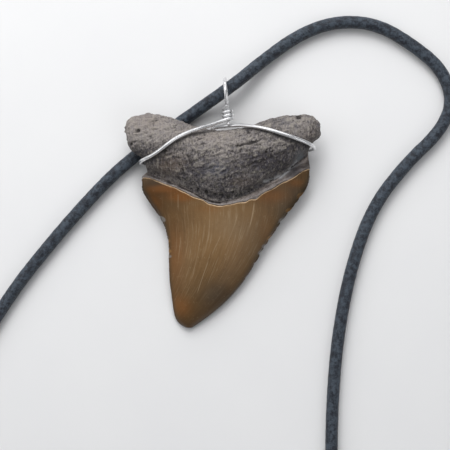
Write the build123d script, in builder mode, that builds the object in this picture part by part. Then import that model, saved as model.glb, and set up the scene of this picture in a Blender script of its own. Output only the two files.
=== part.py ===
from build123d import *
from collections import namedtuple
from math import cos, pi, radians, sin, sqrt, tan
import os

# Shark tooth necklace, lying on a surface with the tooth's display side up.
# Millimetres. The origin is the middle of the pendant's plan, on the surface.

# Tooth
tooth_width = 46.0
tooth_length = 50.25
tip_y = -29.37
root_thickness = 10.8
crown_thickness = 8.8
edge_thickness = 0.6
seam_gap = 0.12
back_slant = 0.25

# Wire round the root
wire_diameter = 0.85
wire_clearance = 0.2
back_clearance = 0.12
back_inset = 2.2
notch_lean = 0.2
back_lean = 0.3

# Bail: its turns are degrees, and its foot is where the shank leaves the right strand
bail_offset = 1.35
bail_lean = 5.0
bail_pitch = 6.0
bail_rise = 1.0
hook_space = 0.18
hook_gap = 0.1
hook_length = 1.1
hook_share = 0.8
hook_flat = 0.95
coil_turns = 2.875
coil_space = 0.12
coil_clearance = 0.22
eye_room = 1.2
eye_space = 0.4
eye_start = 50
eye_stop = 310
eye_turn = 40
split_gap = 0.1

# Cord and clasp
cord_diameter = 3.0
clasp_wall = 0.8
clasp_length = 14.0
clasp_round = 0.5
clasp_band_depth = 0.3
clasp_band_width = 3.0
clasp_cut_margin = 1.0
clasp_x = -11.0
clasp_y = -125.95

# Share of a bend's shorter run that its arc takes up
arc_share = 0.45

wire_radius = wire_diameter / 2
back_lift = wire_diameter + back_clearance
half_width = tooth_width / 2
clasp_diameter = cord_diameter + 2 * clasp_wall


def across(share):
    """Place across the tooth, as a share of half its width."""
    return share * half_width


def up(share):
    """Place along the tooth, as a share of its length from the tip."""
    return tip_y + share * tooth_length


def height(share):
    """Height above the surface, as a share of the root's thickness above its back."""
    return back_lift + share * root_thickness


# Sections of the crown, tip first: left and right are shares of half the width,
# front and back are shares of the crown's thickness.
Blade = namedtuple("Blade", "up left right front back")
BLADES = [
    Blade(0.000, -0.374, -0.309, 0.165, 0.028),
    Blade(0.035, -0.470, -0.191, 0.295, 0.003),
    Blade(0.109, -0.510, 0.009, 0.443, 0.011),
    Blade(0.224, -0.543, 0.226, 0.591, 0.028),
    Blade(0.362, -0.548, 0.409, 0.727, 0.051),
    Blade(0.487, -0.599, 0.583, 0.841, 0.074),
    Blade(0.604, -0.761, 0.770, 0.909, 0.097),
    Blade(0.652, -0.813, 0.843, 0.943, 0.108),
    Blade(0.724, -0.767, 0.883, 0.977, 0.114),
    Blade(0.795, -0.778, 0.867, 1.000, 0.114),
]
blade_edge_share = 0.33
lip_share = 0.3

# Sections of the root from the left lobe to the right one. low, peak, fold and high are
# shares of the tooth's length; top, rim, edge, fold_height and heel are shares of the
# root's thickness: the bulge, the lower rim's front, the upper edge, where the back folds
# up under a lobe, and the lower rim's back.
Lobe = namedtuple("Lobe", "across low peak high fold top rim edge fold_height heel")
LOBES = [
    Lobe(-0.988, 0.901, 0.917, 0.933, 0.909, 0.500, 0.454, 0.407, 0.324, 0.333),
    Lobe(-0.955, 0.857, 0.908, 0.957, 0.884, 0.611, 0.463, 0.407, 0.278, 0.296),
    Lobe(-0.886, 0.806, 0.892, 0.982, 0.838, 0.731, 0.454, 0.426, 0.250, 0.241),
    Lobe(-0.788, 0.768, 0.878, 0.993, 0.791, 0.806, 0.415, 0.435, 0.213, 0.176),
    Lobe(-0.742, 0.706, 0.871, 0.996, 0.775, 0.825, 0.365, 0.435, 0.125, 0.080),
    Lobe(-0.543, 0.676, 0.838, 0.980, 0.783, 0.898, 0.505, 0.407, 0.000, 0.000),
    Lobe(-0.348, 0.636, 0.804, 0.951, 0.819, 0.944, 0.610, 0.370, 0.000, 0.000),
    Lobe(-0.152, 0.590, 0.777, 0.923, 0.833, 0.981, 0.650, 0.324, 0.000, 0.000),
    Lobe(0.087, 0.586, 0.767, 0.921, 0.833, 1.000, 0.660, 0.306, 0.000, 0.000),
    Lobe(0.326, 0.626, 0.787, 0.947, 0.827, 0.963, 0.625, 0.333, 0.000, 0.000),
    Lobe(0.522, 0.678, 0.821, 0.978, 0.813, 0.907, 0.560, 0.389, 0.000, 0.000),
    Lobe(0.696, 0.734, 0.855, 0.988, 0.813, 0.833, 0.465, 0.426, 0.019, 0.000),
    Lobe(0.829, 0.772, 0.884, 0.992, 0.835, 0.741, 0.385, 0.426, 0.148, 0.093),
    Lobe(0.902, 0.845, 0.904, 0.982, 0.868, 0.676, 0.410, 0.417, 0.222, 0.204),
    Lobe(0.962, 0.872, 0.910, 0.959, 0.892, 0.583, 0.430, 0.398, 0.269, 0.278),
    Lobe(0.990, 0.899, 0.915, 0.931, 0.907, 0.481, 0.435, 0.389, 0.315, 0.324),
]
SADDLE = LOBES[8]

# Lines across the tooth's front, as shares of half its width and of its length.
Line = namedtuple("Line", "across up")
ROOT_RIM = [
    Line(-1.087, 0.712), Line(-0.809, 0.706), Line(-0.690, 0.694), Line(-0.560, 0.677),
    Line(-0.422, 0.656), Line(-0.321, 0.635), Line(-0.192, 0.605), Line(-0.053, 0.587),
    Line(0.125, 0.596), Line(0.274, 0.622), Line(0.474, 0.669), Line(0.630, 0.709),
    Line(0.747, 0.752), Line(0.861, 0.779), Line(1.087, 0.786),
]
ENAMEL_EDGE = [
    Line(-1.087, 0.672), Line(-0.796, 0.674), Line(-0.624, 0.667), Line(-0.505, 0.647),
    Line(-0.289, 0.608), Line(-0.050, 0.566), Line(0.209, 0.581), Line(0.370, 0.604),
    Line(0.565, 0.655), Line(0.700, 0.687), Line(0.826, 0.712), Line(1.087, 0.716),
]
line_height = 8.0
below_tip = -0.2
above_root = 1.2

# The wire's way over the root's front, with its lift off the root in millimetres.
Pass = namedtuple("Pass", "across up lift")
LEFT_STRAND = [
    Pass(-0.758, 0.779, 0.15), Pass(-0.689, 0.792, 0.0), Pass(-0.609, 0.816, 0.0),
    Pass(-0.528, 0.844, 0.0), Pass(-0.446, 0.870, 0.1), Pass(-0.366, 0.889, 0.2),
    Pass(-0.287, 0.904, 0.35), Pass(-0.204, 0.918, 0.9), Pass(-0.122, 0.930, 1.35),
    Pass(-0.031, 0.949, 0.3),
]
RIGHT_STRAND = [
    Pass(-0.107, 0.919, 0.0), Pass(-0.025, 0.930, 0.0), Pass(0.078, 0.935, 0.0),
    Pass(0.174, 0.935, 0.5), Pass(0.274, 0.928, 0.1), Pass(0.370, 0.920, 0.0),
    Pass(0.468, 0.907, 0.0), Pass(0.567, 0.892, 0.0), Pass(0.664, 0.878, 0.0),
    Pass(0.763, 0.863, 0.0), Pass(0.841, 0.850, 0.0), Pass(0.882, 0.841, 0.0),
]
left_notch = Line(-0.797, 0.767)
right_notch = Line(0.893, 0.832)
notch_top = 0.50
notch_bottom = 0.15

# The cord's route from the clasp's left end, under the left lobe, through the bail and round.
CORD_ROUTE = [
    (-38.5, -121.8, 1.5), (-55.0, -108.5, 1.5), (-65.0, -88.0, 1.5), (-67.5, -64.5, 1.5),
    (-62.0, -42.5, 1.5), (-50.5, -22.5, 1.5), (-38.6, -7.6, 1.5), (-28.3, 3.8, 1.5),
    (-22.4, 9.3, 1.5), (-14.6, 15.3, 1.5), (-6.6, 21.0, 1.5), (-1.3, 24.4, 4.0),
    (3.9, 28.2, 4.0), (9.9, 33.5, 1.5), (18.0, 39.3, 1.5), (26.6, 42.4, 1.5),
    (36.2, 41.8, 1.5), (45.2, 36.4, 1.5), (51.6, 30.8, 1.5), (54.0, 23.4, 1.5),
    (50.8, 16.4, 1.5), (43.1, 9.2, 1.5), (35.0, -1.2, 1.5), (29.8, -16.0, 1.5),
    (26.6, -33.5, 1.5), (25.4, -53.0, 1.5), (25.6, -73.5, 1.5), (23.5, -93.0, 1.5),
    (18.0, -110.5, 1.5), (10.8, -121.8, 1.5),
]
clasp_middle = Vector(clasp_x, clasp_y, clasp_diameter / 2)
clasp_turn = -3.0
clasp_lead = 7.0


def bend_radii(points):
    """The largest arc that each corner's two runs allow."""
    radii = []
    for before, corner, after in zip(points, points[1:], points[2:]):
        turn = radians((corner - before).get_angle(after - corner))
        shorter = min((corner - before).length, (after - corner).length)
        radii.append(arc_share * shorter / tan(turn / 2))
    return radii


def round_bar(points, diameter):
    """Sweep a round section along straight runs joined by tangent arcs."""
    with BuildLine() as route:
        FilletPolyline(*points, radius=bend_radii(points))
    way = route.wire()
    with BuildSketch(Plane(origin=way @ 0, z_dir=way % 0)) as section:
        Circle(diameter / 2)
    sweep(section.sketch, path=way)
    return way.length


def cut_past(line, shift, far_up):
    """Remove all that lies between a line across the tooth and a place far along it."""
    top = 2 * root_thickness
    drop = back_slant * (top - line_height)
    points = [(across(p.across), up(p.up) + shift - drop) for p in line]
    with BuildSketch(Plane.XY.offset(top)) as region:
        with BuildLine():
            Spline(*points)
            far_y = up(far_up)
            Polyline(points[-1], (points[-1][0], far_y), (points[0][0], far_y), points[0])
        make_face()
    extrude(region.sketch, amount=2 * top, dir=(0, back_slant, -1), mode=Mode.SUBTRACT)


def blade_blank():
    """The lens-shaped blade that the crown and the bourlette are cut from."""
    sections = []
    for row in BLADES:
        left, right = across(row.left), across(row.right)
        middle = (left + right) / 2
        front, back = row.front * crown_thickness, row.back * crown_thickness
        edge = back + blade_edge_share * (front - back)
        lip = min(edge_thickness, lip_share * (front - back)) / 2
        plane = Plane(origin=(0, up(row.up), 0), x_dir=(1, 0, 0), z_dir=(0, -1, 0))
        with BuildSketch(plane) as lens:
            with BuildLine():
                ThreePointArc((left, edge - lip), (middle, back), (right, edge - lip))
                Polyline((right, edge - lip), (right, edge + lip))
                ThreePointArc((right, edge + lip), (middle, front), (left, edge + lip))
                Polyline((left, edge + lip), (left, edge - lip))
            make_face()
        sections.append(lens.sketch.face())
    loft(sections)


os.makedirs("parts", exist_ok=True)

# Root: lofted across the tooth, then cut off along its lower rim
with BuildPart() as tooth_root:
    for row in LOBES:
        plane = Plane(origin=(across(row.across), 0, 0), x_dir=(0, 1, 0), z_dir=(1, 0, 0))
        heel = (up(row.low), height(row.heel))
        rim = (up(row.low), height(row.rim))
        crest = (up(row.peak), height(row.top))
        edge = (up(row.high), height(row.edge))
        fold = (up(row.fold), height(row.fold_height))
        with BuildSketch(plane):
            with BuildLine():
                TangentArc(crest, rim, tangent=(-1, 0))
                TangentArc(crest, edge, tangent=(1, 0))
                Polyline(edge, fold, heel, rim)
            make_face()
    loft()
    cut_past(ROOT_RIM, seam_gap / 2, below_tip)
tooth_root.part.label = "tooth_root"

# Bourlette: the blade between the root's rim and the enamel
with BuildPart() as tooth_bourlette:
    blade_blank()
    cut_past(ROOT_RIM, -seam_gap / 2, above_root)
    cut_past(ENAMEL_EDGE, seam_gap / 2, below_tip)
tooth_bourlette.part.label = "tooth_bourlette"

# Crown: the blade from the enamel's edge to the tip
with BuildPart() as tooth_crown:
    blade_blank()
    cut_past(ENAMEL_EDGE, -seam_gap / 2, above_root)
tooth_crown.part.label = "tooth_crown"

# The bail's own directions: along its shank, above it and beside it
strand_y = up(RIGHT_STRAND[2].up)
shank_height = height(SADDLE.edge) + bail_rise
foot = Vector(bail_offset, strand_y + wire_diameter + hook_space, shank_height)
along_dir = Vector(0, 1, 0).rotate(Axis.X, -bail_pitch).rotate(Axis.Z, bail_lean)
above_dir = Vector(0, 0, 1).rotate(Axis.X, -bail_pitch).rotate(Axis.Z, bail_lean)
beside_dir = above_dir.cross(along_dir)


def on_bail(along, above, beside=0.0):
    """A point given along, above and beside the bail's shank, from its foot."""
    return foot + along_dir * along + above_dir * above + beside_dir * beside


steps_a_turn = 8
coil_steps = round(coil_turns * steps_a_turn)
coil_step = (wire_diameter + coil_space) / steps_a_turn
coil_radius = wire_diameter + coil_clearance
coil_top = wire_radius + coil_step * coil_steps
eye_radius = cord_diameter / 2 + eye_room + wire_radius
eye_middle = coil_top + eye_space + eye_radius
eye_corner = eye_radius / cos(radians(eye_turn / 2))
hook_rise = hook_share * wire_diameter
strand_drop = wire_diameter + hook_gap - hook_rise
root_shell = tooth_root.part.shells()[0]


# Rings of the wire's round end, as shares of its radius, that are tried against the root.
SEAT_RINGS = (0.0, 0.5, 0.85)


def seat(x, y, lowest):
    """Height of the wire's middle where it rests on the root's front, and no lower."""
    reach = wire_radius + wire_clearance
    heights = [lowest]
    for ring in SEAT_RINGS:
        for step in range(steps_a_turn if ring else 1):
            dx = reach * ring * cos(2 * pi * step / steps_a_turn)
            dy = reach * ring * sin(2 * pi * step / steps_a_turn)
            line = Axis((x + dx, y + dy, 0), (0, 0, 1))
            for point, _ in root_shell.find_intersection_points(line):
                heights.append(point.Z + reach * sqrt(1 - ring ** 2))
    return max(heights)


def strand(rows, lowest):
    """The wire's middle line over the root's front."""
    places = [(across(row.across), up(row.up), row.lift) for row in rows]
    return [Vector(x, y, seat(x, y, lowest) + lift) for x, y, lift in places]


def round_notch(notch, side):
    """The wire round one side of the root, from the front to the back."""
    outer = across(notch.across) + side * (wire_radius + wire_clearance)
    y = up(notch.up)
    return [
        Vector(outer, y, height(notch_top)),
        Vector(outer, y - notch_lean, height(notch_bottom)),
        Vector(outer - side * back_inset, y - back_lean, wire_radius),
    ]


def eye_point(turn):
    """A corner of the eye, turned from its lowest point."""
    return on_bail(eye_middle - eye_corner * cos(radians(turn)), -eye_corner * sin(radians(turn)))


coil_entry = on_bail(coil_top + wire_radius, coil_radius + wire_radius)
eye_last = eye_point(eye_stop)
closing = (eye_last - coil_entry).normalized()

# Wire round the root, from its cut tail to the top of the coil on the bail's shank
with BuildPart() as wrap_wire:
    right_way = strand(RIGHT_STRAND, shank_height - strand_drop)
    left_way = strand(LEFT_STRAND, shank_height + coil_radius + strand_drop)
    coil = []
    for step in range(coil_steps + 1):
        turn = 2 * pi * (coil_steps - step + 1) / steps_a_turn
        along = wire_radius + coil_step * step
        coil.append(on_bail(along, coil_radius * cos(turn), coil_radius * sin(turn)))
    round_bar(
        right_way + round_notch(right_notch, 1) + round_notch(left_notch, -1)[::-1]
        + left_way + coil + [coil_entry, coil_entry + closing * wire_radius],
        wire_diameter,
    )
wrap_wire.part.label = "wrap_wire"

# Bail: the end over the right strand, the shank inside the coil, and the eye
with BuildPart() as bail:
    hook = [on_bail(-hook_length, hook_rise), on_bail(-hook_length / 2, hook_flat * hook_rise)]
    shank = [on_bail(hook_space, 0.0), on_bail(coil_top + 2 * eye_space, 0.0)]
    eye = [eye_point(turn) for turn in range(eye_start, eye_stop, eye_turn)]
    closed = coil_entry + closing * (wire_radius + split_gap)
    round_bar(hook + shank + eye + [eye_last, closed], wire_diameter)
bail.part.label = "bail"

# Clasp: a plain barrel with a shallow band, lying in line with the cord's two ends
clasp_axis = Vector(1, 0, 0).rotate(Axis.Z, clasp_turn)
with BuildPart() as clasp:
    with BuildSketch(Plane(origin=clasp_middle, z_dir=clasp_axis)):
        Circle(clasp_diameter / 2)
    extrude(amount=clasp_length / 2, both=True)
    fillet(clasp.edges().filter_by(GeomType.CIRCLE), radius=clasp_round)
    with BuildSketch(Plane(origin=clasp_middle, z_dir=clasp_axis)):
        Circle(clasp_diameter / 2 + clasp_cut_margin)
        Circle(clasp_diameter / 2 - clasp_band_depth, mode=Mode.SUBTRACT)
    extrude(amount=clasp_band_width / 2, both=True, mode=Mode.SUBTRACT)
clasp.part.label = "clasp"

# Cord: a whole loop from one end of the clasp to the other
clasp_left = clasp_middle - clasp_axis * clasp_length / 2
clasp_right = clasp_middle + clasp_axis * clasp_length / 2
with BuildPart() as cord:
    route = [clasp_left, clasp_left - clasp_axis * clasp_lead]
    route += [Vector(*point) for point in CORD_ROUTE]
    route += [clasp_right + clasp_axis * clasp_lead, clasp_right]
    cord_length = round_bar(route, cord_diameter)
cord.part.label = "cord"

cord_section = pi * (cord_diameter / 2) ** 2
print("cord length", round(cord_length, 1), "with the clasp", round(cord_length + clasp_length, 1))
print("cord volume over section times length", round(cord.part.volume / cord_section / cord_length, 4))
print("cord radii", [round(radius, 1) for radius in bend_radii(route)])

for piece in (tooth_root, tooth_bourlette, tooth_crown, wrap_wire, bail, clasp, cord):
    export_step(piece.part, "parts/" + piece.part.label + ".step")
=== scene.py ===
import bpy
from collections import namedtuple
from math import cos, pi, radians, sin
import numpy as np
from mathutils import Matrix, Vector
from mathutils.bvhtree import BVHTree


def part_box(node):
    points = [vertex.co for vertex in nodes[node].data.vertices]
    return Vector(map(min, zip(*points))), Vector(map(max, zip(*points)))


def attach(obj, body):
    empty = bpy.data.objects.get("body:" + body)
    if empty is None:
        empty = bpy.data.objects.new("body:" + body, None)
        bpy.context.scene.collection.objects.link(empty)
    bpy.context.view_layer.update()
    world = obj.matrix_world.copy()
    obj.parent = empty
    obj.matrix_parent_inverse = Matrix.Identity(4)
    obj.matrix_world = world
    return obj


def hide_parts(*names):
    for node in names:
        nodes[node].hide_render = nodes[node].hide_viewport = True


# Shark tooth necklace: its looks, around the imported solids.
# Tables and sizes are millimetres in the frame's own axes, and MM turns them to metres.

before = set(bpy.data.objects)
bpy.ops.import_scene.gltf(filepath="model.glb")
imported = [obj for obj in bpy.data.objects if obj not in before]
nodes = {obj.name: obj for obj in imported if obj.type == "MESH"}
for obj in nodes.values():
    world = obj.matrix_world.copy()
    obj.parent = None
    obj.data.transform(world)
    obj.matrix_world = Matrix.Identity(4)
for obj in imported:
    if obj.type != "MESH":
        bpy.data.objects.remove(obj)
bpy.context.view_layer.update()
MM = 0.001


def table(kind, *rows):
    """A list of rows, each with the names of its columns."""
    return [kind(*row) for row in rows]


# Lines across the tooth's front: the enamel's edge and the root's lower rim
Spot = namedtuple("Spot", "x y")
ENAMEL_EDGE = table(
    Spot, (-20, 4.4), (-18.9, 4.5), (-17.7, 4.7), (-16.7, 4.6), (-15.1, 4.2), (-13.7, 3.8), (-12, 3.2),
    (-10.6, 2.8), (-9.7, 2.3), (-8.3, 1.8), (-7.4, 1.3), (-5.8, 0.7), (-4.4, 0.3), (-3.3, -0.4),
    (-2.1, -0.8), (-1, -1), (0.6, -0.8), (1.7, -0.7), (3.6, -0.3), (5.2, -0.2), (6.3, 0.4), (7.9, 0.4),
    (8.8, 1.3), (9.5, 1.8), (10.9, 2.4), (12.3, 3), (13.2, 3.7), (15.1, 4.4), (16.7, 5.2), (18.6, 6.3),
    (20.3, 6.6), (22.2, 6.9),
)
ROOT_RIM = table(
    Spot, (-20, 5.9), (-18.4, 6), (-16.3, 5.6), (-14.8, 5.2), (-13.2, 4.8), (-11.6, 4.3), (-9.7, 3.6),
    (-7.4, 2.6), (-5.8, 1.7), (-4.4, 1), (-2.8, 0.4), (-1.2, 0.1), (0.6, 0.2), (2.9, 0.6), (5.2, 1.3),
    (6.3, 1.9), (8.1, 2.7), (9.5, 3.6), (10.9, 4.4), (13.2, 5.4), (15.1, 6.6), (17.2, 8.5), (18.6, 9.4),
    (20.3, 9.9), (22.2, 10),
)

# The lines hold at line_height, and below it they slide up the tooth by back_slant
line_height = 8.0
back_slant = 0.25
line_steps = 0.12
seam_gap = 0.12
rim_inset = 0.15
back_level = 1.0

# The outline's left corner is cut in by notch_cut, which grows over notch_span along the tooth
notch_cut = 0.9
notch_span = (4.7, 6.2)

# The crease and the lip that run under the root's rim, and the light ridges on it
crease_depth = 0.42
crease_low = 0.3
crease_width = 0.2
crease_growth = 1.3
lip_height = 0.16
lip_low = 0.85
lip_width = 0.22
ridge_width = 0.3

# Grids of the blade's skin: rows along the tooth and columns across it, crowded at the edges
crown_grid = (300, 96)
band_grid = (26, 240)
column_crowding = 0.55
outline_rows = 320
outline_rounds = 14
far = 60.0
skin_inset = 0.03
skin_blur = 6

# Cutting edges
serration_pitch = 0.72
serration_depth = 0.1
serration_wander = 0.22
edge_wear = 0.07
edge_fade = 0.6
edge_taper = 1.5
edge_thin = 0.22
edge_half = 0.3
stain_reach = 0.85
Chip = namedtuple("Chip", "y width depth stain")
RIGHT_CHIPS = table(
    Chip, (1.7, 0.5, 0.3, 1), (0.2, 0.3, 0.22, 0), (-1.8, 0.4, 0.28, 1), (-4.1, 0.4, 0.4, -1),
    (-5.6, 0.3, 0.22, 0), (-8.3, 0.5, 0.25, 1), (-10.1, 0.35, 0.3, -1), (-11.6, 0.45, 0.42, -1),
    (-14.2, 0.3, 0.2, 0), (-17.4, 0.35, 0.15, 0),
)
LEFT_CHIPS = table(
    Chip, (-3, 0.35, 0.22, 0), (-3.9, 0.4, 0, -1.6), (-9, 0.4, 0.3, 0.6), (-11.4, 0.35, 0.25, 0.8),
    (-12.6, 0.3, 0.2, -0.8), (-17, 0.3, 0.15, 0),
)

# Root, and how it meets the bourlette along its lower rim
root_voxel = 0.17
rim_samples = 160
rim_margin = 0.06
rim_reach = 2.6
band_overlap = 0.8
end_overlap = 0.1
end_ease = (0.2, 2.0)

# Cracks and pits, with a ragged course and round walls
crack_wander = 0.15
Crack = namedtuple("Crack", "width depth points")
CRACKS = table(
    Crack,
    (0.34, 0.5, table(Spot, (3.4, 12.7), (4.9, 13.1), (6.6, 13.3), (8.3, 13.9), (10.1, 14.3))),
    (0.22, 0.22, table(Spot, (5.8, 13), (7.3, 12.7), (8.6, 12.9))),
    (0.25, 0.2, table(Spot, (-4.2, 13.3), (-2.6, 12.4), (-0.8, 12.1), (1, 11.3))),
    (0.25, 0.22, table(Spot, (1.6, 11.4), (3.2, 11), (4.6, 11.5))),
    (0.3, 0.25, table(Spot, (-12.5, 11.3), (-11, 9.9), (-9.6, 8), (-8.6, 6.2))),
    (0.28, 0.22, table(Spot, (-9.3, 11.8), (-8, 10.2), (-6.9, 8.3))),
    (1.1, 0.14, table(Spot, (7.5, 8.2), (10, 9.2), (13.4, 10.3), (15.6, 11))),
    (0.25, 0.2, table(Spot, (-21.6, 15.6), (-19.2, 15.9), (-17.2, 15.6))),
)
Pit = namedtuple("Pit", "x y radius depth")
ROOT_PITS = table(
    Pit, (-19.2, 16.2, 0.45, 0.5), (17.5, 19.7, 0.55, 0.7), (-15.6, 17.9, 0.3, 0.25), (5.9, 16, 0.3, 0.2),
    (13.2, 16.6, 0.32, 0.25), (20.4, 15.8, 0.35, 0.3), (-20.9, 13, 0.4, 0.3), (-3.9, 15.5, 0.28, 0.2),
    (9.9, 11.2, 0.35, 0.3), (-7, 2.8, 0.32, 0.22), (-5.6, 2.7, 0.34, 0.28), (-3.7, 2, 0.42, 0.38),
    (-1.7, 1.4, 0.38, 0.28), (-0.1, 1.1, 0.38, 0.28), (1.4, 0.95, 0.4, 0.3), (2.5, 1.9, 0.34, 0.3),
    (3.2, 1.15, 0.36, 0.28), (4.4, 1.6, 0.36, 0.25), (6, 2.2, 0.32, 0.2),
)

# The wire, and its way over the root's front with its lift off it
wire_diameter = 0.85
wire_radius = wire_diameter / 2
wire_clearance = 0.2
wire_wobble = 0.008
end_round = 0.35
end_flat = 0.72
line_resolution = 24
seat_rings = (0.0, 0.5, 0.85)
wire_sides = 18
wire_step = 0.12
Pass = namedtuple("Pass", "x y lift")
LEFT_STRAND = table(
    Pass, (-17.43, 9.77, 0.15), (-15.85, 10.43, 0), (-14.01, 11.63, 0), (-12.14, 13.04, 0),
    (-10.26, 14.35, 0.1), (-8.42, 15.30, 0.2), (-6.60, 16.06, 0.35), (-4.69, 16.76, 0.9),
    (-2.81, 17.36, 1.35), (-0.71, 18.32, 0.3),
)
RIGHT_STRAND = table(
    Pass, (-2.46, 16.81, 0), (-0.58, 17.36, 0), (1.79, 17.61, 0), (4.00, 17.61, 0.5), (6.30, 17.26, 0.1),
    (8.51, 16.86, 0), (10.76, 16.21, 0), (13.04, 15.45, 0), (15.27, 14.75, 0), (17.55, 14.00, 0),
    (19.34, 13.34, 0), (20.29, 12.89, 0),
)
right_strand_low = 5.0
left_strand_low = 6.61

# The wire's way round the right notch, across the back and round the left notch
ROUND_THE_BACK = [
    (21.16, 12.44, 6.37), (21.16, 12.24, 2.59), (18.96, 12.14, 0.43), (16.80, 11.94, 0.43),
    (-14.60, 9.07, 0.43), (-16.76, 8.87, 0.43), (-18.96, 8.97, 2.59), (-18.96, 9.17, 6.37),
]

# The bail: its foot, its lean and pitch, its turns of wire and its eye
bail_foot = np.array([1.35, 18.64, 5.27])
bail_lean = radians(5.0)
bail_pitch = radians(6.0)
coil_steps = 23
coil_steps_a_turn = 8
coil_low = 0.32
coil_space = 0.02
coil_radius = 1.07
coil_rise = (wire_diameter + coil_space) / coil_steps_a_turn
eye_middle = 6.74
eye_radius = 3.33
eye_turns = range(50, 311, 40)
hook_rise = 0.68
hook_end = -1.1
shank_places = (0.18, 0.9, 3.01, 4.01)

# The cord's route from the clasp's left end, under the left lobe, through the bail and round
CORD_ROUTE = [
    (-17.990, -125.584, 2.3), (-24.981, -125.217, 2.3),
    (-38.5, -121.8, 1.5), (-55.0, -108.5, 1.5), (-65.0, -88.0, 1.5), (-67.5, -64.5, 1.5),
    (-62.0, -42.5, 1.5), (-50.5, -22.5, 1.5), (-38.6, -7.6, 1.5), (-28.3, 3.8, 1.5),
    (-22.4, 9.3, 1.5), (-14.6, 15.3, 1.5), (-6.6, 21.0, 1.5), (-1.3, 24.4, 4.0),
    (3.9, 28.2, 4.0), (9.9, 33.5, 1.5), (18.0, 39.3, 1.5), (26.6, 42.4, 1.5),
    (36.2, 41.8, 1.5), (45.2, 36.4, 1.5), (51.6, 30.8, 1.5), (54.0, 23.4, 1.5),
    (50.8, 16.4, 1.5), (43.1, 9.2, 1.5), (35.0, -1.2, 1.5), (29.8, -16.0, 1.5),
    (26.6, -33.5, 1.5), (25.4, -53.0, 1.5), (25.6, -73.5, 1.5), (23.5, -93.0, 1.5),
    (18.0, -110.5, 1.5), (10.8, -121.8, 1.5),
    (2.981, -126.683, 2.3), (-4.010, -126.316, 2.3),
]
cord_diameter = 3.0
cord_radius = cord_diameter / 2
cord_sides = 28
cord_step = 0.35
cord_grain = 0.03
cord_crease = 0.035

# Camera, over the tooth's face as in the photograph
camera_place = (0.6, -5.3, 253.0)
camera_lens = 86.0
sensor_width = 36.0


# Noise

def lattice(cell, seed):
    """A random number from -1 to 1, fixed for each whole-numbered cell."""
    h = cell[..., 0] * 374761393 + cell[..., 1] * 668265263 + cell[..., 2] * 1274126177 + seed * 362437
    h = (h ^ (h >> 13)) * 1103515245 & 0x7FFFFFFF
    h = (h ^ (h >> 11)) * 1540483477 & 0x7FFFFFFF
    return (h ^ (h >> 15)) % 65536 / 32767.5 - 1.0


def at(x, y=0.0, z=0.0):
    """Places given by their x, y and z, as one array."""
    return np.stack(np.broadcast_arrays(x, y, z), -1)


def grain(points, size, seed=0):
    """Smooth noise from -1 to 1, with bumps of the size given."""
    p = points / size
    base = np.floor(p).astype(np.int64)
    f = p - base
    f = f * f * (3 - 2 * f)
    total = 0.0
    for corner in np.ndindex(2, 2, 2):
        step = np.array(corner[::-1])
        weight = np.prod(np.where(step, f, 1 - f), axis=-1)
        total = total + weight * lattice(base + step, seed)
    return total


def rough(points, size, octaves, seed=0, fade=0.55):
    """Noise of several sizes, each half the one before and weaker."""
    total, weight, reach = 0.0, 1.0, 0.0
    for octave in range(octaves):
        total = total + weight * grain(points, size / 2 ** octave, seed + octave)
        reach += weight
        weight *= fade
    return total / reach


def pores(points, size, seed, inner, outer, scatter=0.45):
    """1 in scattered round holes, 0 between them. Their walls rise from inner to outer, as shares."""
    p = points / size
    base = np.floor(p).astype(np.int64)
    nearest = np.full(p.shape[:-1], np.inf)
    for step in np.ndindex(3, 3, 3):
        cell = base + step - 1
        jitter = np.stack([lattice(cell, seed + k) for k in (1, 2, 3)], -1)
        dot = cell + 0.5 + scatter * jitter
        nearest = np.minimum(nearest, np.linalg.norm(p - dot, axis=-1))
    return 1 - smooth_step(nearest, inner, outer)


def smooth_step(value, low, high):
    """0 below low, 1 above high and a smooth rise between them."""
    t = np.clip((value - low) / (high - low), 0.0, 1.0)
    return t * t * (3 - 2 * t)


def bell(away, width):
    """1 at the middle and a smooth fall to 0 on both sides."""
    return np.exp(-(away / width) ** 2)


def from_line(x, y, spots):
    """Distance of each place to a broken line."""
    best = np.full(np.shape(x), 1e9)
    for a, b in zip(spots, spots[1:]):
        run = np.array([b.x - a.x, b.y - a.y])
        t = np.clip(((x - a.x) * run[0] + (y - a.y) * run[1]) / (run @ run), 0, 1)
        best = np.minimum(best, np.hypot(x - a.x - t * run[0], y - a.y - t * run[1]))
    return best


Patch = namedtuple("Patch", "x y width height amount")


def painted(x, y, patches):
    """Soft oval patches added up, as from a broad brush."""
    total = np.zeros(np.shape(x))
    for p in patches:
        total += p.amount * np.exp(-((x - p.x) / p.width) ** 2 - ((y - p.y) / p.height) ** 2)
    return total


# Shapes

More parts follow.
